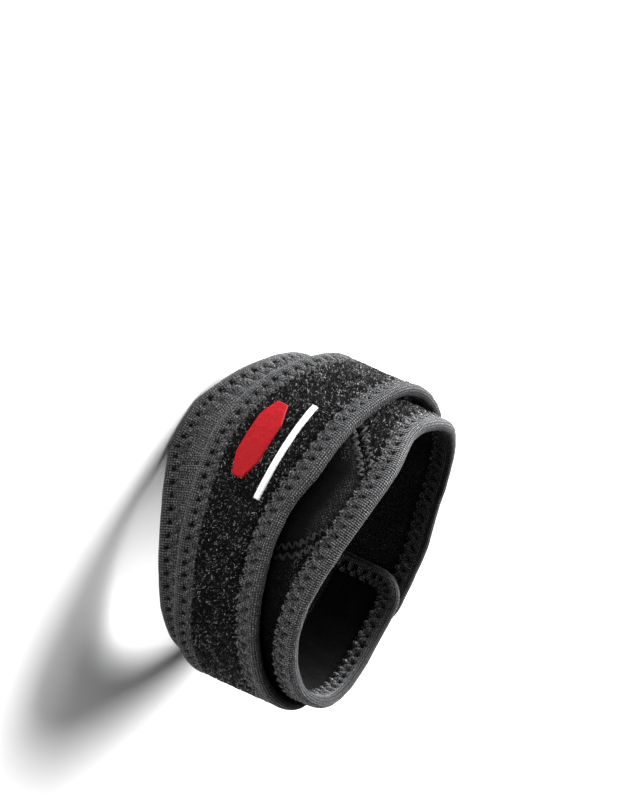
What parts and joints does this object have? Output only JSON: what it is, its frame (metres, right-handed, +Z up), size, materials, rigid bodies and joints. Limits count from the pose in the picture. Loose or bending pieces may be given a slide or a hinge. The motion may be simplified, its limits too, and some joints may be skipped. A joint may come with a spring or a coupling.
{
  "type": "tennis elbow strap",
  "caption": "Forearm counterforce strap: a bound foam band wrapped round the arm, with a narrower loop-faced tension strap sewn to it and drawn over it.",
  "frame": {"origin": "on the surface that the strap stands on, under the middle of its box", "axes": "+Z up through the arm's hollow, from the elbow side edge that the strap stands on to the wrist side; -Y is the front, with the badge; +X along the longer axis of the hollow"},
  "size_m": [0.118, 0.1124, 0.0736],
  "materials": {
    "knit": "fine nylon knit laminated on foam, matt black",
    "tape": "ribbed elastic binding tape, dark grey, zigzag sewn",
    "pile": "short unbroken loop pile, black, fuzzy",
    "hook": "moulded hook tape, black",
    "badge_red": "smooth red heat transfer",
    "badge_white": "smooth white heat transfer"
  },
  "bodies": {
    "root": {"base_panel": "knit", "base_binding": "tape", "base_pile_lower": "pile", "base_pile_upper": "pile", "strap_panel": "knit", "strap_binding": "tape", "strap_pile": "pile", "hook_patch": "hook", "badge": "badge_red", "badge_bar": "badge_white"}
  },
  "joints": []
}
